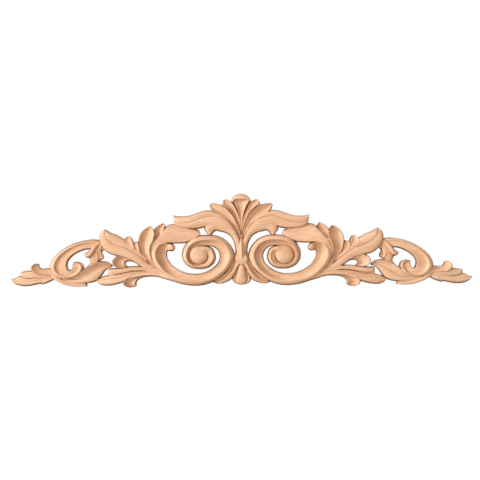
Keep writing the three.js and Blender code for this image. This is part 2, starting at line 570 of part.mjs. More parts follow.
// The eye is a round solid, so it is closed round a ring instead of between two ends.
const eye = (side) => {
  const [x, y, radius, crest, edge] = EYE;
  const rings = [1, 0.88, 0.66, 0.36];
  const around = 24;
  const centre = side < 0 ? x : 2 * PATTERN_CENTRE - x;
  const rise = (r) => edge + (crest - edge) * Math.sqrt(Math.max(1 - (0.97 * r) ** 2.6, 0));
  const verts = [...place(centre, y, 0), ...place(centre, y, rise(0))];
  const ring = (r, share) => {
    for (let i = 0; i < around; i += 1) {
      const angle = (2 * Math.PI * i) / around;
      verts.push(...place(centre + radius * r * Math.cos(angle), y - radius * r * Math.sin(angle), share));
    }
  };
  ring(1, 0);
  for (const r of rings) {
    ring(r, rise(r));
  }
  const faces = [];
  for (let i = 0; i < around; i += 1) {
    const j = (i + 1) % around;
    faces.push(0, 2 + j, 2 + i);
    for (let k = 0; k < rings.length; k += 1) {
      const low = 2 + k * around;
      const high = low + around;
      faces.push(low + i, low + j, high + j, low + i, high + j, high + i);
    }
    const last = 2 + rings.length * around;
    faces.push(last + i, last + j, 1);
  }
  const mesh = new wasm.Mesh({
    numProp: 3,
    vertProperties: new Float32Array(verts),
    triVerts: new Uint32Array(faces),
  });
  return new wasm.Manifold(mesh);
};
solids.push(eye(-1), eye(1));

let carved = solids[0];
for (const solid of solids.slice(1)) {
  carved = carved.add(solid);
}
carved = carved.asOriginal().simplify(FACET_ERROR);
const [body] = carved.decompose().sort((one, two) => two.volume() - one.volume());

const mesh = body.getMesh();
const geometry = new THREE.BufferGeometry();
const positions = new Float32Array(mesh.numVert * 3);
for (let i = 0; i < mesh.numVert; i += 1) {
  positions.set(mesh.vertProperties.subarray(i * mesh.numProp, i * mesh.numProp + 3), i * 3);
}
geometry.setAttribute("position", new THREE.BufferAttribute(positions, 3));
geometry.setIndex(new THREE.BufferAttribute(new Uint32Array(mesh.triVerts), 1));

const wood = new THREE.MeshStandardMaterial({ color: 0xdca983, roughness: 0.75, metalness: 0 });
const headpiece = new THREE.Mesh(geometry, wood);
headpiece.name = "headpiece";

const part = new THREE.Group();
part.add(headpiece);

export default part;
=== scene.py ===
"""Carved headpiece: a pierced carving with a flat back, dressed as bare sanded beech."""

import math

import bmesh
import bpy
import numpy as np
from mathutils import Matrix, Vector


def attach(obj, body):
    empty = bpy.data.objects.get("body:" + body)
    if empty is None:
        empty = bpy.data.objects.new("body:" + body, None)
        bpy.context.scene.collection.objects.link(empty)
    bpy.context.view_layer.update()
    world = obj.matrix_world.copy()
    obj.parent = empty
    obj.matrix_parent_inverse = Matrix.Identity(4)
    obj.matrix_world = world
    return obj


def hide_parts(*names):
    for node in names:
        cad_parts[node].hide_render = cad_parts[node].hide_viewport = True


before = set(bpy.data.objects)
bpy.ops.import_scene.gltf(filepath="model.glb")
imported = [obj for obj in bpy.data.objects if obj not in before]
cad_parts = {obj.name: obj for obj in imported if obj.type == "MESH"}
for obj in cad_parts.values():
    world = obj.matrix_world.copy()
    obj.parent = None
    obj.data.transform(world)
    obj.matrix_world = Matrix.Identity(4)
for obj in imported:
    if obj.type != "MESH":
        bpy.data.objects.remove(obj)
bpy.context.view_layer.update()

# Driving dimensions, in metres
LENGTH = 0.6
HEIGHT = 0.1207
RELIEF = 0.02

# The carving is drawn once, as its left half, on a pattern whose x runs right and y runs down.
PATTERN_LEFT = 10.2
PATTERN_CENTRE = 241.4
PATTERN_TOP = 193.8
PATTERN_BOTTOM = 286.8
ALONG = LENGTH / (2 * (PATTERN_CENTRE - PATTERN_LEFT))
UP = HEIGHT / (PATTERN_BOTTOM - PATTERN_TOP)
PATTERN_MIDDLE = (PATTERN_TOP + PATTERN_BOTTOM) / 2

# Mesh fineness along and across a blade, in pattern units, and the points tried to measure its length
STEP = 1.0
FEWEST_STEPS = 4
PROBES = 400

# In pattern units: the rounding of a cut edge, the lean of a cut wall out towards the back,
# and the rim that closes a scoop round its tip
ROUND = 0.65
DRAFT = 1.25
TIP_RIM = 2.6
# A narrow blade takes no more than these shares of its width, and a short one these parts of its length.
ROUND_SHARE = 0.28
DRAFT_SHARE = 0.19
ROUND_PARTS = 10
DRAFT_PARTS = 12
# A plain side, which meets its neighbour, keeps this share of its rounding and lean.
PLAIN_EASE = 0.08
# The rounding at four stations: the way in from the edge and the drop, as shares of its radius
ARC = [(1 - math.cos(a), 1 - math.sin(a)) for a in np.radians([0, 30, 60, 90])]

# Heights of a wall's foot and of the lowest front point above it, as shares of the relief
FOOT = 0.04
LOWEST = 0.05

# The crest share runs along an edge's curve as a third coordinate, at this many units to a share of 1.
CREST_WEIGHT = 10
# The depth share and the sway of a row that leaves them out
ROW_DEFAULTS = [1.0, 0.0]
# A scroll has a row at every such part of a quarter turn.
TURN_STEP = 0.25

# Shared by the cross sections: the powers that bend them, the width of a groove in v,
# the width of a crease as a share of the blade, and a guard against dividing by nothing
FULL_DOME = 2.4
GROOVE_WIDTH = 0.22
CREASE_WIDTH = 0.175
SOFT_BEND = 1.3
LIFT_BEND = 1.5
TINY = 1e-6


# Cross sections. Each gives the share of the crest's height at v, from -1 on edge A to 1 on edge B.
# The line at, the line crest and a waist are places in v.
def off_line(v, at):
    """Distance from the line at, as a share of the way to the edge on that side."""
    return np.where(v < at, (at - v) / (1 + at), (v - at) / (1 - at))


def hollow(v, depth, at):
    """A scoop, deepest on the line at."""
    s = off_line(v, at)
    return 1 - depth * (1 - s * s)


def bead(v, edge):
    """A round bead whose edges stand at the share edge."""
    return edge + (1 - edge) * np.sqrt(np.maximum(1 - v * v, 0))


def cove(v, edge, crest, low, reach, lift):
    """A rim on the line crest, and beyond it a trough that lifts again past reach."""
    rim = 1 - (1 - edge) * ((crest - v) / (crest + 1)) ** 2
    u = (v - crest) / (1 - crest)
    down = np.clip(u / reach, 0, 1)
    up = np.clip((u - reach) / max(1 - reach, TINY), 0, 1)
    return np.where(v < crest, rim, 1 - (1 - low) * (1 - (1 - down) ** 2) + lift * up**LIFT_BEND)


def veined(v, groove, at, edge):
    """A full dome with a groove along the line at."""
    body = edge + (1 - edge) * np.sqrt(np.maximum(1 - off_line(v, at) ** FULL_DOME, 0))
    return body - groove * np.exp(-(((v - at) / GROOVE_WIDTH) ** 2))


def ridge(v, edge):
    """A roof with straight slopes."""
    return 1 - (1 - edge) * np.abs(v)


def bulb(v, waist, depth, rise):
    """A dome between two waists, and sides that rise again outside them."""
    s = np.abs(v)
    dome = np.sqrt(1 - np.minimum(s / waist, 1) ** FULL_DOME)
    side = rise * (np.maximum(s - waist, 0) / (1 - waist)) ** SOFT_BEND
    return 1 - depth * (1 - dome - side)


def creased_a(v, edge, groove):
    """Half a leaf: a crease along edge A, and a fall towards edge B."""
    s = (v + 1) / 2
    return 1 - (1 - edge) * s**3 - groove * np.exp(-((s / CREASE_WIDTH) ** SOFT_BEND))


def creased_b(v, edge, groove):
    """The other half of such a leaf, creased along edge B."""
    return creased_a(-v, edge, groove)


def through(points, t):
    """A centripetal Catmull-Rom curve through the points, at the shares t of its spans."""
    smallest, doubled = 1e-4, 1e-3
    given = np.asarray(points, float)
    last = len(given) - 1
    t = np.clip(np.asarray(t, float), 0, 1) * last
    i = np.minimum(t.astype(int), last - 1)
    part = (t - i)[:, None]
    start = given[i]
    end = given[i + 1]
    before = np.where((i > 0)[:, None], given[np.maximum(i - 1, 0)], 2 * given[0] - given[1])
    after = np.where((i < last - 1)[:, None], given[np.minimum(i + 2, last)], 2 * given[-1] - given[-2])

    def gap(a, b):
        return np.maximum(((a - b) ** 2).sum(1) ** 0.25, smallest)[:, None]

    # A point that doubles its neighbour gives no direction, so its gap is taken from the span itself.
    back, span, ahead = gap(before, start), gap(start, end), gap(end, after)
    back = np.where(back < doubled, span, back)
    ahead = np.where(ahead < doubled, span, ahead)
    leave = (start - before) / back - (end - before) / (back + span)
    leave = (leave + (end - start) / span) * span
    arrive = (end - start) / span - (after - start) / (span + ahead)
    arrive = (arrive + (after - end) / ahead) * span
    cubic = 2 * start - 2 * end + leave + arrive
    square = -3 * start + 3 * end - 2 * leave - arrive
    return start + leave * part + square * part**2 + cubic * part**3


def volute(centre, inner, outer, first, last, crests, depths, sways):
    """Rows of a scroll, from the last quarter turn back to the first.

    Its two edges pass the inner and outer radii at each quarter turn. Crests, depths and sways are
    given as pairs of a quarter turn and a value.
    """
    x, y = centre
    turns = np.arange(last, first - TINY, -TURN_STEP)
    share = (turns - first) / (len(inner) - 1)
    near = through(np.asarray(inner, float)[:, None], share)[:, 0]
    far = through(np.asarray(outer, float)[:, None], share)[:, 0]
    extra = [np.interp(turns, *zip(*pairs)) for pairs in (crests, depths, sways)]
    angle = turns * math.pi / 2
    c, s = np.cos(angle), np.sin(angle)
    return np.stack([x + far * c, y + far * s, x + near * c, y + near * s, *extra], -1).tolist()


# Every blade is a section and its rows, from root to tip. A section is a cross section, its sizes
# and its plain sides. A row is [Ax, Ay, Bx, By, crest share], then a depth share and a sway if it needs
# them: a point on each edge, the height there, the part of the section's depth and its shift sideways.

# The great scroll winds from its hooked upper end, down and round, into the eye. These are its
# inner turns, and SCROLL_HOOK is the way there.
SCROLL_TURNS = volute(
    centre=(201, 256.5),
    inner=[5, 6, 6.1, 11, 10.2],
    outer=[10.3, 15, 12.5, 19.3, 21.5],
    first=-1,
    last=3,
    crests=[(-1, 0.74), (0, 0.78), (3, 0.84)],
    depths=[(-1, 0.3), (0, 0.35), (1, 0.5), (2, 0.7), (3, 0.75)],
    sways=[(-1, 0), (1, -0.3), (2, -0.45), (3, -0.25)],
)
SCROLL_HOOK = [
    [170.8, 242.6, 169.8, 250.4, 0.76, 0.2, 0.4], [165.5, 241.4, 168.3, 250.4, 0.79, 0.5, 0.4],
    [159.5, 241.2, 167, 251.4, 0.81, 0.8, 0.3], [153.6, 245, 167, 253.4, 0.85, 1, 0.1],
    [150, 251.8, 167.1, 256.6, 0.88, 1], [151, 259.8, 169.2, 260.6, 0.88, 1],
    [155.2, 266.7, 172.2, 264.7, 0.87, 0.85], [161.5, 273.5, 176.4, 267.8, 0.86, 0.6],
    [169.5, 279.5, 181.4, 270.5, 0.85, 0.45, -0.05], [179.3, 283.3, 187.5, 272.6, 0.85, 0.35, -0.1],
    [190.3, 285.4, 194, 273.3, 0.85, 0.35, -0.1], [201.5, 285.3, 200.6, 272.9, 0.85, 0.45, -0.1],
    [212, 282.3, 207.9, 270.5, 0.85, 0.55, -0.1], [220.3, 277.4, 213.8, 266.6, 0.86, 0.65, -0.1],
    [227.2, 271.2, 217.8, 262.2, 0.86, 0.7, -0.05], [232.1, 264.2, 219, 259, 0.86, 0.75, -0.08],
    [234.9, 256.6, 219.5, 255.5, 0.86, 0.75, -0.1], [233.2, 249, 218, 251, 0.86, 0.75, -0.1],
    [229, 242.6, 215.2, 248, 0.86, 0.75, -0.1], [222.9, 237.6, 211.4, 246.4, 0.85, 0.75, -0.15],
    [215.6, 235, 207, 246, 0.85, 0.75, -0.2], [208, 234.4, 203.8, 246, 0.84, 0.75, -0.25],
]

# A thin level web that ties blades together
WEB = (hollow, {"depth": 0, "at": 0}, "AB")

# Blades of both halves: the leaves and scrolls from the outer tip towards the middle,
# then the low webs between them and the neck of the eye
PAIRED = [
    # End leaf tip
    ((veined, {"groove": 0.08, "at": 0, "edge": 0.72}, ""), [
        [54, 270, 55, 277, 0.5], [46, 273, 46, 281.5, 0.56], [37, 275.5, 37, 283.1, 0.56],
        [28, 276.3, 28, 284.8, 0.52], [19.5, 274.2, 19.5, 284.4, 0.48], [14, 276.8, 14, 282.3, 0.44],
        [10.2, 277.7, 10.7, 279.2, 0.42],
    ]),
    # End leaf second blade
    ((creased_b, {"edge": 0.8, "groove": 0.14}, "B"), [
        [54, 268, 54, 276, 0.6], [42, 269.5, 42, 277, 0.66], [31.2, 268.8, 31.2, 277.2, 0.64],
        [25.2, 269.5, 25, 276.6, 0.59], [19.9, 270.7, 19.9, 274.8, 0.53],
    ]),
    # End leaf curl
    ((cove, {"edge": 0.8, "crest": -0.6, "low": 0.62, "reach": 1, "lift": 0}, ""), [
        [54, 275, 52, 266, 0.66], [43, 274.2, 45, 267, 0.72], [35.5, 273.4, 41.5, 267.2, 0.76],
        [30.9, 270.3, 39.7, 266, 0.75], [29.7, 266.4, 38.9, 264.4, 0.7], [31.8, 263.4, 38.6, 263.3, 0.64],
        [35.5, 262.1, 38.6, 262.6, 0.6],
    ]),
    # End leaf under lobe
    ((hollow, {"depth": 0.1, "at": 0}, "A"), [
        [56, 270.5, 55.5, 277.5, 0.56], [48, 272.3, 48.8, 280.9, 0.63], [42.5, 275, 44.5, 282.5, 0.62],
        [39.7, 278.3, 40.7, 283.6, 0.52],
    ]),
    # Small strap
    ((cove, {"edge": 0.74, "crest": -0.44, "low": 0.8, "reach": 0.22, "lift": 0.13}, ""), [
        [106, 241, 103, 250, 0.5, 0.3], [95, 238.3, 91, 248.5, 0.62, 0.4], [84, 239.3, 84.5, 249, 0.72, 0.6],
        [72, 242.7, 76.4, 252.3, 0.77, 0.8], [60.5, 249.3, 70.6, 256.6, 0.8], [52.5, 257, 67.7, 260.8, 0.82],
        [49, 265.5, 67.2, 264.3, 0.82], [50.8, 271.5, 67.8, 266.9, 0.81, 0.9],
        [56, 276.3, 68.6, 268.2, 0.8, 0.8], [64, 278.6, 69.7, 268.7, 0.79, 0.8],
        [72.5, 277.4, 70.8, 268.2, 0.78, 0.8], [79.8, 273.8, 71.5, 267, 0.77],
        [83.7, 267.8, 71.9, 265.8, 0.76], [82.8, 263.4, 72, 264.9, 0.75], [79, 260.9, 71.9, 264, 0.73],
        [75, 260.6, 71.9, 263, 0.7], [72.6, 261.5, 71.8, 262.4, 0.66],
    ]),
    # Long leaf upper half
    ((cove, {"edge": 0.88, "crest": -0.72, "low": 0.72, "reach": 0.9, "lift": 0}, "B"), [
        [60, 271, 62, 278.5, 0.5], [67, 273.5, 69, 280.4, 0.62], [75.5, 272.5, 78, 279.8, 0.7],
        [83.2, 268, 85, 277.8, 0.73], [90.6, 263, 92, 273.2, 0.72], [98, 260.2, 99.5, 268.3, 0.68],
        [105, 260.3, 105.7, 266, 0.62], [109.8, 262.2, 109.9, 265.3, 0.56],
        [112.3, 264.6, 112.3, 265.4, 0.52],
    ]),
    # Long leaf lower half
    ((creased_a, {"edge": 0.84, "groove": 0.06}, "A"), [
        [62, 276.5, 63, 281, 0.56], [72, 278.5, 74, 283, 0.6], [79, 278.6, 84, 282.6, 0.63],
        [85.5, 276.6, 90, 282, 0.64], [92, 272.7, 96.5, 280, 0.63], [98.5, 268.4, 101.3, 275.2, 0.6],
        [104, 265.8, 105.2, 269.6, 0.56], [109.5, 265, 109.6, 266.8, 0.53],
        [112.2, 264.8, 112.3, 265.7, 0.5],
    ]),
    # Small lip
    ((creased_a, {"edge": 0.8, "groove": 0.1}, "A"), [
        [47.5, 270, 49.5, 266, 0.6], [51.5, 275.6, 55.5, 272, 0.68], [58, 280.9, 61.5, 276.8, 0.68],
        [68, 284.7, 70, 280, 0.62], [78, 285.8, 79.5, 281.4, 0.56], [86.9, 285.3, 86.4, 281.6, 0.52],
    ]),
    # Bud stem
    ((bead, {"edge": 0.8}, ""), [
        [96, 240, 104, 243, 0.56], [93.5, 246, 102.5, 248, 0.58], [91, 251.5, 101.6, 252, 0.58],
        [88.8, 257, 100.5, 257.5, 0.58], [89.9, 261.3, 99, 260.6, 0.54], [86, 266, 100, 266, 0.48],
    ]),
    # Bud left lobe
    ((bead, {"edge": 0.7}, ""), [
        [98.2, 240, 100.4, 243, 0.6], [93.8, 243, 97, 248, 0.7], [90.2, 247, 94, 252.6, 0.75],
        [87.2, 250.9, 91, 256.4, 0.76], [84.8, 252.2, 87.6, 257, 0.73], [83.6, 253.8, 85, 256.2, 0.66],
    ]),
    # Bud right lobe
    ((hollow, {"depth": 0.3, "at": 0.2}, ""), [
        [98.4, 241, 104.5, 245, 0.64], [96.4, 248, 101.9, 250, 0.72], [95.6, 253.5, 102.4, 253, 0.76],
        [97, 257.8, 103.5, 255, 0.74], [100, 259.8, 103.6, 257.4, 0.66],
    ]),
    # Side leaf lower half
    ((creased_a, {"edge": 0.85, "groove": 0.08}, "A"), [
        [160, 271, 157, 275.5, 0.68, 0], [152, 265.7, 148, 272, 0.71, 0.4], [145, 260.5, 139, 265.5, 0.74],
        [137, 254.3, 130, 259.5, 0.76], [127, 248.2, 121, 256.3, 0.78], [117, 244.4, 111, 253.7, 0.78],
        [109.5, 240, 103.3, 248.2, 0.76, 0.8], [105.9, 236.3, 99.3, 241, 0.72, 0.3],
        [104.9, 232.5, 99.3, 233.7, 0.67, 0], [105.1, 230, 102.3, 229.8, 0.63, 0],
        [105.4, 228.6, 104.4, 228.4, 0.6, 0],
    ]),
    # Side leaf upper half
    ((creased_b, {"edge": 0.86, "groove": 0.06}, "B"), [
        [146, 256, 147, 262, 0.6], [136, 247, 137, 254.3, 0.68], [125, 238.8, 127, 248.2, 0.73],
        [116.3, 233.7, 117, 244.4, 0.75], [110.6, 231.6, 109.5, 240, 0.74, 0.8],
        [107.4, 229.4, 105.9, 236.3, 0.71, 0.3], [105.2, 228.3, 105, 230.3, 0.63, 0],
    ]),
    # Side leaf second lobe
    ((hollow, {"depth": 0.2, "at": 0}, ""), [
        [146, 262, 150, 264, 0.66], [137, 254.5, 142, 254.5, 0.74], [132.2, 248, 140.5, 248, 0.78],
        [131.8, 243.5, 139.5, 243.5, 0.78], [134.3, 241.2, 138.8, 240.4, 0.72],
    ]),
    # Side leaf first lobe
    ((hollow, {"depth": 0.22, "at": 0}, ""), [
        [141, 259, 146, 262, 0.66], [130.5, 251.5, 137.5, 252.5, 0.76], [124, 246.5, 135, 247, 0.82],
        [122.1, 241.5, 133.7, 241.7, 0.83], [124.8, 237.2, 131.6, 236.9, 0.77],
        [127.6, 235.4, 128.7, 235.4, 0.7],
    ]),
    # Side leaf curl
    ((cove, {"edge": 0.92, "crest": -0.78, "low": 0.7, "reach": 0.6, "lift": 0.2}, ""), [
        [152, 262, 153, 270, 0.56], [141, 255.5, 142, 265.7, 0.62], [132, 254.3, 132.5, 261.3, 0.68],
        [123.5, 254, 127.6, 260.8, 0.72], [116.4, 255.2, 125.9, 261.6, 0.75],
        [111.8, 259.5, 125.3, 262.8, 0.75], [112.6, 264.4, 125.9, 264.1, 0.73],
        [118, 267.5, 126.8, 264.9, 0.7], [125.5, 267, 127.8, 265.3, 0.62],
    ]),
    # Low leaf upper blade
    ((veined, {"groove": 0, "at": 0, "edge": 0.84}, ""), [
        [162, 271.5, 161, 276.5, 0.66], [153, 266.5, 153, 273, 0.68], [142, 265.4, 142, 271, 0.7],
        [132, 265.3, 131, 271.5, 0.7], [122, 266.6, 121, 273.5, 0.69], [114, 267.2, 114, 274.3, 0.65],
        [109.3, 267.6, 109.8, 273.3, 0.6], [107.4, 269, 107.9, 271.2, 0.54],
    ]),
    # Low leaf lower blade
    ((veined, {"groove": 0.1, "at": -0.12, "edge": 0.84}, ""), [
        [166, 275, 166, 279.2, 0.66, 0], [156, 269.5, 156, 276.4, 0.68, 0.5], [142, 269.5, 141, 276.5, 0.7],
        [130, 270.5, 128, 279.6, 0.71], [120, 273, 119.5, 282.8, 0.71], [110, 273.8, 110, 284.8, 0.69],
        [102.5, 275.5, 102.5, 284.6, 0.63], [98, 277.6, 98.2, 282.5, 0.56], [95.8, 278.9, 96.1, 279.9, 0.52],
    ]),
    # Low leaf curl
    ((cove, {"edge": 0.9, "crest": -0.76, "low": 0.58, "reach": 0.5, "lift": 0.24}, ""), [
        [156, 270, 158, 276, 0.56], [145, 271, 147.5, 276.3, 0.64], [134.5, 272.5, 140.5, 277.8, 0.72],
        [126.5, 276, 137.3, 280, 0.78], [122.2, 280.5, 136.1, 282, 0.79], [123, 284.6, 136, 283.4, 0.77],
        [128, 286.8, 136.5, 284, 0.72], [133.8, 286.5, 137.2, 284.3, 0.66],
    ]),
    # Tall leaf
    ((hollow, {"depth": 0.42, "at": -0.12}, "B"), [
        [166, 277.5, 170, 278, 0.56], [156.5, 271, 161, 271, 0.66], [149.5, 265.5, 155, 264, 0.75],
        [144.6, 259, 151.6, 258, 0.82], [141, 252.5, 149.6, 251, 0.87], [138.6, 245.5, 150.2, 245, 0.91],
        [138.3, 238, 153, 239, 0.93], [140.5, 232.3, 154.2, 233.5, 0.93], [144.5, 228.2, 153.3, 229.3, 0.9],
        [149.5, 225.6, 151.5, 226, 0.85],
    ]),
    # Small tall leaf
    ((hollow, {"depth": 0.36, "at": 0}, ""), [
        [150, 245, 155, 246, 0.62], [151.2, 238, 159, 239.4, 0.72], [152.8, 230.8, 162.4, 233.6, 0.8],
        [155.6, 226.6, 165, 229, 0.84], [160, 223.8, 165.6, 225.4, 0.82], [162.8, 222.4, 163.8, 222.9, 0.77],
    ]),
    # Great scroll
    ((cove, {"edge": 0.72, "crest": -0.36, "low": 0.5, "reach": 0.6, "lift": 0.14}, ""), [
        *SCROLL_HOOK, *SCROLL_TURNS,
    ]),
    # Hook ball
    ((bead, {"edge": 0.78}, ""), [
        [167, 243.4, 167.5, 250, 0.7], [169.3, 242.4, 169.3, 250.7, 0.82], [171.6, 242.8, 171.3, 251, 0.86],
        [173.9, 244.4, 173.4, 250.3, 0.84], [175.1, 246.6, 174.9, 248.8, 0.78],
    ]),
    # Scroll leaf
    ((bead, {"edge": 0.87}, ""), [
        [149.9, 250, 153, 251.6, 0.76], [152.2, 242.5, 158, 246.5, 0.8], [157, 235.8, 166, 243.2, 0.79],
        [164, 228.3, 173.4, 243.2, 0.75], [169.5, 223.8, 181, 243, 0.7], [177, 223.6, 187.8, 242.2, 0.67],
        [186, 225.9, 192.8, 240, 0.66], [193.5, 228.6, 197, 238.2, 0.65], [198.8, 229.8, 200.2, 236, 0.62],
        [200.2, 232, 200.6, 234.2, 0.58],
    ]),
    # Crown leaf lower half
    ((creased_a, {"edge": 0.8, "groove": 0.05}, "A"), [
        [241.4, 262, 236, 262, 0.66], [241, 250, 235.4, 251, 0.72], [240, 242, 234.3, 244, 0.76],
        [237, 234.5, 230.5, 236.3, 0.8], [232.5, 227, 224.8, 232.7, 0.84], [226.5, 220.6, 219, 231.3, 0.86],
        [218, 217, 213, 229.8, 0.86], [209, 216.3, 206, 227.3, 0.86], [200.6, 218.6, 199, 228.6, 0.86],
        [192, 221.6, 191, 229, 0.86], [184, 222.8, 183, 228.2, 0.86], [178.5, 223, 177.6, 226.2, 0.84],
        [175.6, 222, 175.2, 224.3, 0.81], [174.2, 219.2, 173.7, 221, 0.78],
    ]),
    # Crown leaf upper half
    ((veined, {"groove": 0, "at": -0.2, "edge": 0.87}, "B"), [
        [240.6, 246, 239.5, 248, 0.6], [236, 229.5, 236.5, 234, 0.7], [229, 221, 230.5, 225, 0.76],
        [220, 214, 222, 218.6, 0.81], [210.5, 210, 212, 216.6, 0.85], [203, 210.6, 204.5, 217.6, 0.86],
        [196, 212.9, 197.6, 220, 0.86], [189.5, 215.1, 190.5, 222.4, 0.86], [182, 215.8, 184, 223.4, 0.85],
        [176.8, 215.5, 177.5, 223.2, 0.83], [174.2, 214.9, 174.4, 220.4, 0.79],
        [173.2, 214.6, 173.4, 217, 0.75],
    ]),
    # Crown leaf claw
    ((bead, {"edge": 0.76}, ""), [
        [226, 219.5, 229, 234.5, 0.7], [215, 220.5, 220.5, 230.3, 0.78], [209, 221.6, 216.7, 230.6, 0.8],
        [204.8, 225.3, 214.2, 231.8, 0.8], [204.2, 229, 213.1, 233.1, 0.77],
        [206.3, 232.6, 212.2, 234.3, 0.73], [209, 235.4, 211, 235.7, 0.68],
    ]),
    # Palmette outer lobe
    ((hollow, {"depth": 0.3, "at": -0.2}, ""), [
        [240.2, 244, 241.6, 244, 0.66], [238.2, 236.5, 241.2, 234, 0.74], [234.6, 229.5, 239.4, 227.5, 0.8],
        [229.5, 223, 236.1, 219.5, 0.86], [222.5, 217.8, 231.5, 212.3, 0.9],
        [216, 214.4, 225.8, 206.9, 0.92],
        [212.2, 210.8, 219.5, 204, 0.91], [210.3, 207.2, 214, 203, 0.88], [209.7, 204.4, 211, 203.1, 0.84],
    ]),
    # Palmette inner lobe
    ((hollow, {"depth": 0.26, "at": 0}, ""), [
        [240.8, 240, 241.6, 240, 0.62], [239.6, 229, 241.4, 227.5, 0.7], [236, 219, 240.4, 218, 0.76],
        [231.5, 211.5, 237.9, 210.5, 0.82], [226, 206.5, 234.8, 204.8, 0.86],
        [223, 203.6, 232.4, 202.2, 0.87],
        [223, 201.3, 227.6, 199.4, 0.86], [224, 199.6, 225.5, 199.2, 0.83],
    ]),
    # Leg
    ((bead, {"edge": 0.84}, ""), [
        [238.5, 253.6, 242.5, 255, 0.6], [235.5, 260, 241.9, 262, 0.7], [232.8, 267, 238.7, 266.5, 0.74],
        [228.5, 273.5, 235.5, 273, 0.73], [222.5, 278.5, 231.9, 278.8, 0.68],
        [216.5, 280.6, 224.2, 282.9, 0.62], [211, 281.4, 216.5, 283.8, 0.56],
    ]),
    # Root
    ((bead, {"edge": 0.78}, ""), [
        [140, 268, 140, 275.6, 0.45], [150, 264, 149, 276.2, 0.58], [158, 266.5, 157.5, 276.5, 0.66],
        [167.5, 271.5, 166.5, 279.3, 0.73], [176.5, 276.5, 175.5, 281.9, 0.74], [190, 280, 190, 284.4, 0.6],
    ]),
    # Crown web
    (WEB, [
        [241.6, 262, 237, 262, 0.5], [241.6, 246, 236, 246, 0.5], [241.6, 232, 233.5, 236, 0.5],
        [240.5, 220, 228, 228.5, 0.5], [236.5, 209, 219, 222.5, 0.5], [229, 203, 211, 217, 0.5],
        [225.5, 201.5, 203, 216, 0.5],
    ]),
    # Crown end web
    (WEB, [
        [222, 212, 222, 226, 0.5], [208, 212, 209, 222, 0.6], [196, 214.5, 196, 226, 0.62],
        [184, 217.5, 184, 226, 0.66], [178, 217.3, 178.6, 224.6, 0.68], [175, 216.6, 175.4, 222, 0.66],
    ]),
    # Side web
    (WEB, [
        [156, 272, 158, 262, 0.5], [148, 268, 152, 250, 0.5], [138, 262, 143, 244, 0.5],
        [129, 256, 131, 242, 0.5], [120, 251, 122, 242.5, 0.5], [110, 245.5, 113, 238, 0.5],
        [104, 235, 105.8, 231.5, 0.5],
    ]),
    # Low web
    (WEB, [
        [158, 268, 158, 275, 0.5], [142, 268, 142, 274.5, 0.5], [128, 268, 127.5, 280, 0.5],
        [116, 269.5, 116, 278, 0.5], [108.5, 270.5, 106, 279, 0.5],
    ]),
    # Tall web
    (WEB, [
        [172, 272, 162, 276, 0.5], [160, 262, 151.5, 266, 0.62], [155, 252, 149, 254, 0.7],
        [156, 242, 150.5, 243, 0.72], [158, 237, 152.5, 237, 0.7],
    ]),
    # Scroll web
    (WEB, [
        [153.5, 243, 164, 246, 0.5], [160, 231, 172, 241.5, 0.5], [170, 226, 186, 240.5, 0.5],
        [182, 225, 197, 236, 0.5], [196, 228.5, 204, 240, 0.5],
    ]),
    # Small scroll web
    (WEB, [
        [47, 271, 54, 279, 0.44], [56, 270.5, 62, 281, 0.5], [68, 273, 72, 283, 0.5],
        [77, 270.5, 82, 283, 0.5], [86, 266.5, 89, 278, 0.5], [99, 263.5, 99, 271, 0.5],
    ]),
    # End web
    (WEB, [
        [54, 268, 54, 277, 0.4], [42, 269, 42, 280, 0.4], [32, 270, 32, 281, 0.4], [22, 272, 22, 280, 0.38],
    ]),
    # Leg web
    (WEB, [
        [241.5, 253.6, 234.6, 253.4, 0.5], [241.5, 262, 232, 262, 0.5], [236, 270, 226, 272, 0.5],
        [230, 277, 221, 276, 0.5], [218, 281.8, 216.5, 279, 0.5], [214, 282.4, 213, 280.5, 0.5],
    ]),
    # Tall foot web
    (WEB, [
        [152, 268, 143, 262, 0.5], [150, 258, 142, 252, 0.5], [151, 245, 141, 240, 0.5],
        [157, 236, 146, 233, 0.5],
    ]),
    # Eye web
    (WEB, [
        [189, 248, 189, 261, 0.45], [195, 245, 195, 264, 0.45], [203, 244.5, 203, 264, 0.45],
        [209.5, 248, 209.5, 261, 0.45],
    ]),
    # Lip web
    (WEB, [
        [231, 203.5, 235, 197.5, 0.5], [241.4, 207, 241.4, 196, 0.5], [251.8, 203.5, 247.8, 197.5, 0.5],
    ]),
    # Pocket web
    (WEB, [
        [241.5, 272, 234, 270, 0.5], [241.5, 279, 232, 277, 0.5],
    ]),
    # Eye neck
    ((bead, {"edge": 0.92}, ""), [
        [215.5, 254, 208.5, 255, 0.62], [214, 249.5, 206.5, 252.5, 0.7], [209.8, 246.4, 203.5, 251.5, 0.76],
        [204, 245.4, 200, 252.5, 0.77], [198, 246.3, 196.5, 254, 0.72],
    ]),
]

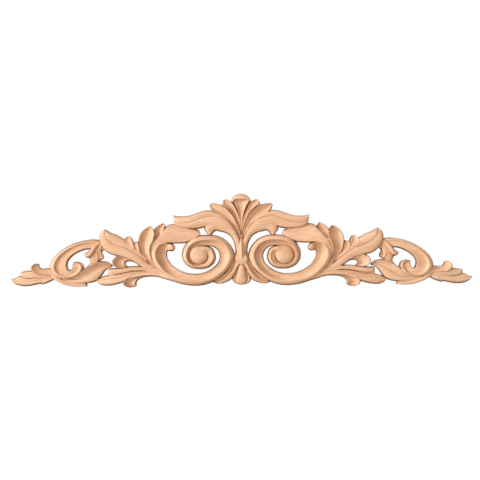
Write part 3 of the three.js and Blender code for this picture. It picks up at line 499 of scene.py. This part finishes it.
# Blades on the centre line; a row is [y, half width, crest share], then a depth share if it needs one.
CENTRED = [
    # Palmette middle lobe
    ((hollow, {"depth": 0.22, "at": 0}, ""), [
        [236, 0.8, 0.6], [228, 1.2, 0.66], [221, 1.7, 0.74], [215, 3, 0.82], [209, 5, 0.88], [204, 7.2, 0.9],
        [200.5, 9.2, 0.88], [198, 9, 0.86], [196.5, 7.5, 0.86],
    ]),
    # Stem
    ((ridge, {"edge": 0.6}, ""), [
        [232, 0.8, 0.62], [238, 2.2, 0.74], [243, 4.4, 0.85], [247, 5.8, 0.92], [251, 6.2, 0.92],
        [255, 6.2, 0.87], [259, 5, 0.8], [262, 2.6, 0.72],
    ]),
    # Collar
    ((bead, {"edge": 0.92}, ""), [
        [251.5, 4.5, 0.62], [254.5, 6.2, 0.7], [257.5, 7.2, 0.76], [260.5, 7.2, 0.77], [263, 5.6, 0.76],
        [264.6, 3, 0.74],
    ]),
    # Middle web
    ((hollow, {"depth": 0, "at": 0}, ""), [
        [198.5, 6.5, 0.5], [202.4, 9.8, 0.5], [206.5, 7.6, 0.5], [211, 4.6, 0.5], [216, 2.8, 0.5],
        [223, 1.6, 0.5], [232, 1.2, 0.5],
    ]),
    # Pendant
    ((bulb, {"waist": 0.6, "depth": 0.34, "rise": 0.76}, ""), [
        [262, 3, 0.6], [264.8, 5, 0.68], [268, 6.2, 0.74], [272, 7.4, 0.78], [275.5, 8.6, 0.8, 0.9],
        [279, 9.4, 0.81, 0.6], [282, 8, 0.79, 0.4], [284, 4.8, 0.73, 0.4], [284.8, 1.6, 0.67, 0.4],
    ]),
]

# The rolled lip over the palmette, from side to side.
LIP = ((bead, {"edge": 0.7}, ""), [
    [231.3, 202.6, 233.8, 201.6, 0.84], [231.8, 199.5, 235.2, 200.6, 0.93],
    [234.3, 196.1, 237.4, 200.4, 0.98],
    [238, 194.2, 239.6, 200.7, 1], [241.4, 193.8, 241.4, 200.9, 1], [244.8, 194.2, 243.2, 200.7, 1],
    [248.5, 196.1, 245.4, 200.4, 0.98], [251, 199.5, 247.6, 200.6, 0.93], [251.5, 202.6, 249, 201.6, 0.84],
])

# The domed eye of the scroll. Its rings are shares of the radius, closer together at the rim.
EYE = {"x": 198.6, "y": 254.5, "radius": 8.9, "crest": 0.8, "edge": 0.58}
EYE_POINTS = 96
EYE_RINGS = [1, 0.985, 0.95, *np.linspace(0.9, 0.06, 12)]
# The dome is cut off a little before its foot, and is fuller than a ball.
EYE_CUT = 0.97
EYE_DOME = 2.6


def flip(rows):
    return [[2 * PATTERN_CENTRE - r[0], r[1], 2 * PATTERN_CENTRE - r[2], *r[3:]] for r in rows]


def widths(rows):
    return [[PATTERN_CENTRE - half, y, PATTERN_CENTRE + half, y, *rest] for y, half, *rest in rows]


def place(x, y, share):
    return np.stack([(x - PATTERN_CENTRE) * ALONG, -share * RELIEF, (PATTERN_MIDDLE - y) * UP], -1)


def spread(length):
    return max(FEWEST_STEPS, int(math.ceil(length / STEP)))


def edges(rows, t):
    """Points of edge A and of edge B, each with its weighed crest share."""
    paths = [[[r[i], r[i + 1], CREST_WEIGHT * r[4]] for r in rows] for i in (0, 2)]
    return [through(path, t) for path in paths]


def stations(rows):
    """Places along a blade, closer round its tip.

    Gives them as lengths and as shares of its rows, with its whole length, its length less the lean
    of the tip's wall, and the rounding of the tip.
    """
    probe = np.linspace(0, 1, PROBES)
    strides = [np.linalg.norm(np.diff(edge[:, :2], axis=0), axis=1) for edge in edges(rows, probe)]
    run = np.concatenate([[0], np.cumsum(np.maximum(*strides))])
    length = run[-1]
    top = length - min(DRAFT, length / DRAFT_PARTS)
    tip = min(ROUND, length / ROUND_PARTS)
    stops = np.linspace(0, top - tip, spread(length))
    stops = np.concatenate([stops, [top - tip * inward for inward, _ in ARC[-2::-1]], [length]])
    return stops, np.interp(stops, run, probe), length, top, tip


def across(wide, plain):
    """Places across a blade, as shares from edge A to edge B, and the drop of its rounding at each."""
    lean = np.minimum(DRAFT, wide * DRAFT_SHARE)
    radius = np.minimum(ROUND, wide * ROUND_SHARE)
    inner = np.linspace(0, 1, spread(wide.max()) + 1)[None, :]
    ease_a, ease_b = (PLAIN_EASE if side in plain else 1.0 for side in "AB")
    shares = [np.zeros_like(wide), *[(lean + radius * inward) / wide for inward, _ in ARC[:-1]]]
    drops = [np.zeros_like(wide), *[radius * down for _, down in ARC[:-1]]]
    rim = (lean + radius) / wide
    middle = ease_a * rim + inner * (1 - (ease_a + ease_b) * rim)
    s = [*[ease_a * share for share in shares], middle, *[1 - ease_b * share for share in shares[::-1]]]
    drop = [*[ease_a * d for d in drops], np.zeros_like(middle), *[ease_b * d for d in drops[::-1]]]
    return np.hstack(s), np.hstack(drop)


def deepened(shape, sizes, deep):
    """The sizes of a cross section, with those that say how deep it goes times the depth share."""
    if shape is cove:
        return {**sizes, "low": 1 - (1 - sizes["low"]) * deep, "lift": sizes["lift"] * deep}
    return {key: size * deep if key in ("groove", "depth") else size for key, size in sizes.items()}


def blade(section, rows):
    """Front points of a blade between two edge curves, with its edges and its tip rounded."""
    shape, sizes, plain = section
    stops, t, length, top, tip = stations(rows)
    a, b = edges(rows, t)
    s, drop = across(np.linalg.norm(a[:, :2] - b[:, :2], axis=1)[:, None], plain)
    x, y, crest = (a[:, i : i + 1] * (1 - s) + b[:, i : i + 1] * s for i in range(3))
    extra = np.array([[*r[5:], *ROW_DEFAULTS[len(r) - 5 :]] for r in rows])
    deep, sway = (np.interp(t * (len(rows) - 1), np.arange(len(rows)), line)[:, None] for line in extra.T)
    v = 2 * s - 1
    share = shape(v + sway * (1 - v * v), **deepened(shape, sizes, deep))
    if shape is hollow:
        # A scoop's rim closes round its tip.
        near = np.clip((length - stops) / TIP_RIM, 0, 1)[:, None]
        share = 1 - (1 - share) * (1 - (1 - near) ** 2)
    ends = np.clip((top - stops) / tip, 0, 1)[:, None]
    end_drop = tip * (1 - np.sqrt(np.maximum(1 - (1 - ends) ** 2, 0)))
    fall = np.maximum(drop, end_drop) * ALONG / RELIEF
    rise = np.maximum(crest / CREST_WEIGHT * share - fall, LOWEST)
    # The outermost points are the foot of the leaning wall.
    rise[:, 0] = FOOT
    rise[:, -1] = FOOT
    rise[-1, :] = FOOT
    return x, y, rise


def mesh_object(name, verts, faces):
    mesh = bpy.data.meshes.new(name)
    mesh.from_pydata(np.asarray(verts).tolist(), [], faces)
    mesh.update()
    item = bpy.data.objects.new(name, mesh)
    bpy.context.scene.collection.objects.link(item)
    return item


def solid(x, y, share):
    """Closes a grid of front points down to the flat back."""
    count = len(x)
    front = place(x, y, share).reshape(-1, 3)
    flat = np.zeros(count)
    back = np.vstack([place(x[:, 0], y[:, 0], flat), place(x[:, -1], y[:, -1], flat)])
    # The points' numbers: the front's grid, and the back's two edges
    grid = np.arange(x.size).reshape(x.shape)
    left = x.size + np.arange(count)
    right = left + count
    quads = [
        (grid[:-1, :-1], grid[:-1, 1:], grid[1:, 1:], grid[1:, :-1]),
        (left[:-1], left[1:], right[1:], right[:-1]),
        (grid[1:, 0], left[1:], left[:-1], grid[:-1, 0]),
        (grid[:-1, -1], right[:-1], right[1:], grid[1:, -1]),
    ]
    faces = [face for corners in quads for face in np.stack([c.ravel() for c in corners], -1).tolist()]
    faces.append([*grid[0, ::-1].tolist(), int(left[0]), int(right[0])])
    faces.append([*grid[-1].tolist(), int(right[-1]), int(left[-1])])
    # The diagonals between neighbouring rows tell which way round the blade runs.
    fore_x, fore_y = x[1:, -1] - x[:-1, 0], y[1:, -1] - y[:-1, 0]
    aft_x, aft_y = x[1:, 0] - x[:-1, -1], y[1:, 0] - y[:-1, -1]
    if (fore_x * aft_y - fore_y * aft_x).sum() > 0:
        faces = [face[::-1] for face in faces]
    return mesh_object("blade", np.vstack([front, back]), faces)


def eye(centre):
    """The domed eye of the scroll, closed round a ring."""
    angle = np.arange(EYE_POINTS) * 2 * math.pi / EYE_POINTS

    def ring(r, share):
        x = centre + EYE["radius"] * r * np.cos(angle)
        y = EYE["y"] - EYE["radius"] * r * np.sin(angle)
        return place(x, y, np.full(EYE_POINTS, share))

    def rise(r):
        return EYE["edge"] + (EYE["crest"] - EYE["edge"]) * math.sqrt(max(1 - (EYE_CUT * r) ** EYE_DOME, 0))

    poles = place(np.full(2, centre), np.full(2, EYE["y"]), np.array([0, rise(0)]))
    verts = np.vstack([ring(1, 0), *[ring(r, rise(r)) for r in EYE_RINGS], poles])
    faces = []
    last = len(EYE_RINGS) * EYE_POINTS
    top = last + EYE_POINTS
    for i in range(EYE_POINTS):
        j = (i + 1) % EYE_POINTS
        faces.append([top, j, i])
        faces.append([top + 1, last + i, last + j])
        for low in range(0, last, EYE_POINTS):
            high = low + EYE_POINTS
            faces.append([low + i, low + j, high + j, high + i])
    return mesh_object("eye", verts, faces)


def carve():
    """Every blade and both eyes, as closed parts that overlap."""
    fronts = [blade(section, side) for section, rows in PAIRED for side in (rows, flip(rows))]
    fronts.extend(blade(section, widths(rows)) for section, rows in CENTRED)
    fronts.append(blade(*LIP))
    parts = [solid(*front) for front in fronts]
    parts.extend(eye(x) for x in (EYE["x"], 2 * PATTERN_CENTRE - EYE["x"]))
    return parts


def unite(parts):
    """Joins the parts into one solid by a Boolean, and removes them."""
    # The Boolean takes all the other parts at once, from a collection of their own.
    rest = bpy.data.collections.new("rest")
    bpy.context.scene.collection.children.link(rest)
    for item in parts[1:]:
        bpy.context.scene.collection.objects.unlink(item)
        rest.objects.link(item)
    body = parts[0]
    union = body.modifiers.new("unite", "BOOLEAN")
    union.operation = "UNION"
    union.solver = "MANIFOLD"
    union.operand_type = "COLLECTION"
    union.collection = rest
    graph = bpy.context.evaluated_depsgraph_get()
    mesh = bpy.data.meshes.new_from_object(body.evaluated_get(graph))
    for item in parts:
        bpy.data.objects.remove(item)
    bpy.data.collections.remove(rest)
    for spare in [m for m in bpy.data.meshes if m.users == 0 and m != mesh]:
        bpy.data.meshes.remove(spare)
    mesh.name = "carving"
    item = bpy.data.objects.new("carving", mesh)
    bpy.context.scene.collection.objects.link(item)
    return item


# Points closer than WELD are joined, triangles thinner than SLIVER go, both in metres.
WELD = 0.00012
SLIVER = 0.00006
# Faces that meet at more degrees than this keep a sharp edge.
SHARP = 38


def clean(item):
    """Welds specks, drops slivers and sets smooth shading with sharp cut edges."""
    mesh = item.data
    work = bmesh.new()
    work.from_mesh(mesh)
    bmesh.ops.remove_doubles(work, verts=work.verts, dist=WELD)
    bmesh.ops.dissolve_degenerate(work, edges=work.edges, dist=SLIVER)
    bmesh.ops.triangulate(work, faces=work.faces)
    for face in work.faces:
        face.material_index = 0
    work.to_mesh(mesh)
    work.free()
    mesh.materials.clear()
    mesh.shade_smooth()
    mesh.set_sharp_from_angle(angle=math.radians(SHARP))


def link(tree, a, b):
    tree.links.new(a, b)


def noise(tree, where, scale, detail, roughness):
    """Noise with a scale for each axis."""
    stretch = tree.nodes.new("ShaderNodeMapping")
    stretch.inputs["Scale"].default_value = scale
    link(tree, where, stretch.inputs["Vector"])
    node = tree.nodes.new("ShaderNodeTexNoise")
    node.inputs["Scale"].default_value = 1.0
    node.inputs["Detail"].default_value = detail
    node.inputs["Roughness"].default_value = roughness
    link(tree, stretch.outputs["Vector"], node.inputs["Vector"])
    return node.outputs["Fac"]


def ramp(tree, factor, stops):
    """Two colours, each at its place on the factor."""
    node = tree.nodes.new("ShaderNodeValToRGB")
    for element, (position, colour) in zip(node.color_ramp.elements, stops):
        element.position = position
        element.color = (*colour, 1)
    link(tree, factor, node.inputs["Fac"])
    return node.outputs["Color"]


def colour_mix(tree, blend):
    node = tree.nodes.new("ShaderNodeMix")
    node.data_type = "RGBA"
    node.blend_type = blend
    return node


def wood_material():
    """Bare beech: long pale grain and fine flecks, with painted shade that darkens the walls facing sideways
    and the sides of deep cuts.
    """
    material = bpy.data.materials.new("bare_beech")
    material.use_nodes = True
    tree = material.node_tree
    shader = tree.nodes["Principled BSDF"]
    shader.inputs["Roughness"].default_value = 0.62
    shader.inputs["Specular IOR Level"].default_value = 0.3
    spot = tree.nodes.new("ShaderNodeTexCoord")
    broad = noise(tree, spot.outputs["Object"], scale=(9, 60, 70), detail=4, roughness=0.6)
    fine = noise(tree, spot.outputs["Object"], scale=(60, 900, 1100), detail=3, roughness=0.55)
    grain = colour_mix(tree, "MULTIPLY")
    grain.inputs["Factor"].default_value = 1
    tone = ramp(tree, broad, [(0.3, (0.652, 0.388, 0.225)), (0.72, (0.79, 0.546, 0.366))])
    fleck = ramp(tree, fine, [(0.34, (0.87, 0.82, 0.78)), (0.52, (1, 1, 1))])
    link(tree, tone, grain.inputs["A"])
    link(tree, fleck, grain.inputs["B"])
    # Painted shade: the colour is multiplied darker where the normal turns away from the front (the walls
    # and the sides of deep cuts), standing in for the shade that falls there.
    turned = tree.nodes.new("ShaderNodeSeparateXYZ")
    link(tree, spot.outputs["Normal"], turned.inputs[0])
    frontal = tree.nodes.new("ShaderNodeMath")
    frontal.operation = "ABSOLUTE"
    link(tree, turned.outputs["Y"], frontal.inputs[0])
    wall_shade_mask = tree.nodes.new("ShaderNodeMapRange")
    wall_shade_mask.interpolation_type = "SMOOTHSTEP"
    for key, value in (("From Min", 0.3), ("From Max", 0.5), ("To Min", 1), ("To Max", 0)):
        wall_shade_mask.inputs[key].default_value = value
    link(tree, frontal.outputs["Value"], wall_shade_mask.inputs["Value"])
    # The painted shade's colour, multiplied in over those walls.
    cut = colour_mix(tree, "MULTIPLY")
    cut.inputs["B"].default_value = (0.7, 0.63, 0.58, 1)
    link(tree, wall_shade_mask.outputs["Result"], cut.inputs["Factor"])
    link(tree, grain.outputs["Result"], cut.inputs["A"])
    link(tree, cut.outputs["Result"], shader.inputs["Base Color"])
    bump = tree.nodes.new("ShaderNodeBump")
    bump.inputs["Strength"].default_value = 0.08
    bump.inputs["Distance"].default_value = 0.0002
    link(tree, fine, bump.inputs["Height"])
    link(tree, bump.outputs["Normal"], shader.inputs["Normal"])
    return material


# The camera: metres away from the back, sensor in mm, the photo's side in pattern units and the degrees
# that it is off level
CAMERA_AWAY = 3.0
SENSOR = 36
PHOTO_SIDE = 480
PHOTO_ROLL = -0.40


def camera():
    """Long lens, square on to the front, turned by the little that the photo is off level."""
    data = bpy.data.cameras.new("camera")
    data.sensor_width = SENSOR
    data.lens = SENSOR * (CAMERA_AWAY - RELIEF / 2) / (PHOTO_SIDE * ALONG)
    item = bpy.data.objects.new("camera", data)
    item.rotation_mode = "QUATERNION"
    level = Matrix.Rotation(math.pi / 2, 4, "X")
    roll = Matrix.Rotation(math.radians(PHOTO_ROLL), 4, "Z")
    middle = PHOTO_SIDE / 2
    spot = ((middle - PATTERN_CENTRE) * ALONG, -CAMERA_AWAY, (PATTERN_MIDDLE - middle) * UP)
    item.matrix_world = Matrix.Translation(spot) @ (level @ roll)
    bpy.context.scene.collection.objects.link(item)
    bpy.context.scene.camera = item


# The studio's glow: colour, strength and where it comes from (front, low in front, left, upper left, top)
GLOWS = (
    ((1.2, 1, 0.8), 0.2, (0, -1, 0)),
    ((1.3, 1, 0.76), 1.2, (-0.32, -0.77, -0.56)),
    ((0.98, 1, 1.04), 2.6, (-0.97, -0.26, 0)),
    ((1.1, 1, 1), 0.15, (-0.68, -0.26, 0.68)),
    ((1.2, 1, 0.8), 0.55, (0, -0.26, 0.97)),
)
# Each glow falls off with this power of the cosine to its middle.
GLOW_FALL = 3

# Square lights: name, place, aim, side in metres, power in watts and colour
LIGHTS = (
    ("key", (-1.5, -0.9, 0.62), (0, 0, 0), 0.5, 17, (1.04, 1.04, 1.12)),
    ("right_fill", (0.75, -0.9, 0.1), (0.25, 0, 0), 0.6, 1.6, (1, 1, 1)),
    ("back_fill", (0.6, 1.4, 0.7), (0, 0, 0), 1.2, 18, (1, 1, 1)),
)

# The floor lies well below the carving, in metres.
FLOOR_LEFT, FLOOR_RIGHT = -0.8, 0.8
FLOOR_FRONT, FLOOR_BACK = -0.6, 0.3
FLOOR_LEVEL = -0.4


def glow(tree, way, colour, strength, toward):
    """A wide soft light from one side, as a background shader."""
    value = tree.nodes.new("ShaderNodeVectorMath")
    value.operation = "DOT_PRODUCT"
    value.inputs[1].default_value = Vector(toward).normalized()
    link(tree, way, value.inputs[0])
    for kind, amount in (("MAXIMUM", 0), ("POWER", GLOW_FALL), ("MULTIPLY", strength)):
        step = tree.nodes.new("ShaderNodeMath")
        step.operation = kind
        step.inputs[1].default_value = amount
        link(tree, value.outputs["Value"], step.inputs[0])
        value = step
    lobe = tree.nodes.new("ShaderNodeBackground")
    lobe.inputs["Color"].default_value = (*colour, 1)
    link(tree, value.outputs["Value"], lobe.inputs["Strength"])
    return lobe.outputs["Background"]


def surroundings():
    """White to the camera, and the sum of the glows to everything else."""
    world = bpy.data.worlds.new("studio")
    bpy.context.scene.world = world
    world.use_nodes = True
    tree = world.node_tree
    tree.nodes.clear()
    out = tree.nodes.new("ShaderNodeOutputWorld")
    path = tree.nodes.new("ShaderNodeLightPath")
    way = tree.nodes.new("ShaderNodeTexCoord").outputs["Generated"]
    soft = glow(tree, way, *GLOWS[0])
    for facts in GLOWS[1:]:
        both = tree.nodes.new("ShaderNodeAddShader")
        link(tree, soft, both.inputs[0])
        link(tree, glow(tree, way, *facts), both.inputs[1])
        soft = both.outputs[0]
    seen = tree.nodes.new("ShaderNodeBackground")
    seen.inputs["Strength"].default_value = 1.0
    seen.inputs["Color"].default_value = (1, 1, 1, 1)
    mix = tree.nodes.new("ShaderNodeMixShader")
    link(tree, path.outputs["Is Camera Ray"], mix.inputs[0])
    link(tree, soft, mix.inputs[1])
    link(tree, seen.outputs["Background"], mix.inputs[2])
    link(tree, mix.outputs["Shader"], out.inputs["Surface"])


def light(name, spot, aim, side, power, colour):
    data = bpy.data.lights.new(name, "AREA")
    data.shape = "RECTANGLE"
    data.size = side
    data.size_y = side
    data.energy = power
    data.color = colour
    item = bpy.data.objects.new(name, data)
    item.location = spot
    item.rotation_euler = (Vector(aim) - Vector(spot)).to_track_quat("-Z", "Y").to_euler()
    bpy.context.scene.collection.objects.link(item)


def floor_material():
    """Pale to the camera, but it throws back less light, so that the undersides stay in shade."""
    material = bpy.data.materials.new("pale_floor")
    material.use_nodes = True
    tree = material.node_tree
    shader = tree.nodes["Principled BSDF"]
    shader.inputs["Roughness"].default_value = 0.8
    path = tree.nodes.new("ShaderNodeLightPath")
    paint = colour_mix(tree, "MIX")
    paint.inputs["A"].default_value = (0.3, 0.3, 0.3, 1)
    paint.inputs["B"].default_value = (0.9, 0.9, 0.9, 1)
    link(tree, path.outputs["Is Camera Ray"], paint.inputs["Factor"])
    link(tree, paint.outputs["Result"], shader.inputs["Base Color"])
    return material


def studio():
    surroundings()
    for facts in LIGHTS:
        light(*facts)
    bpy.context.scene.view_settings.view_transform = "Standard"
    corners = [
        (FLOOR_LEFT, FLOOR_FRONT, FLOOR_LEVEL),
        (FLOOR_RIGHT, FLOOR_FRONT, FLOOR_LEVEL),
        (FLOOR_RIGHT, FLOOR_BACK, FLOOR_LEVEL),
        (FLOOR_LEFT, FLOOR_BACK, FLOOR_LEVEL),
    ]
    floor = mesh_object("floor", corners, [[0, 1, 2, 3]])
    floor.data.materials.append(floor_material())


camera()
studio()
carving = unite(carve())
clean(carving)
carving.data.materials.append(wood_material())
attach(carving, "root")
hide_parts("headpiece")
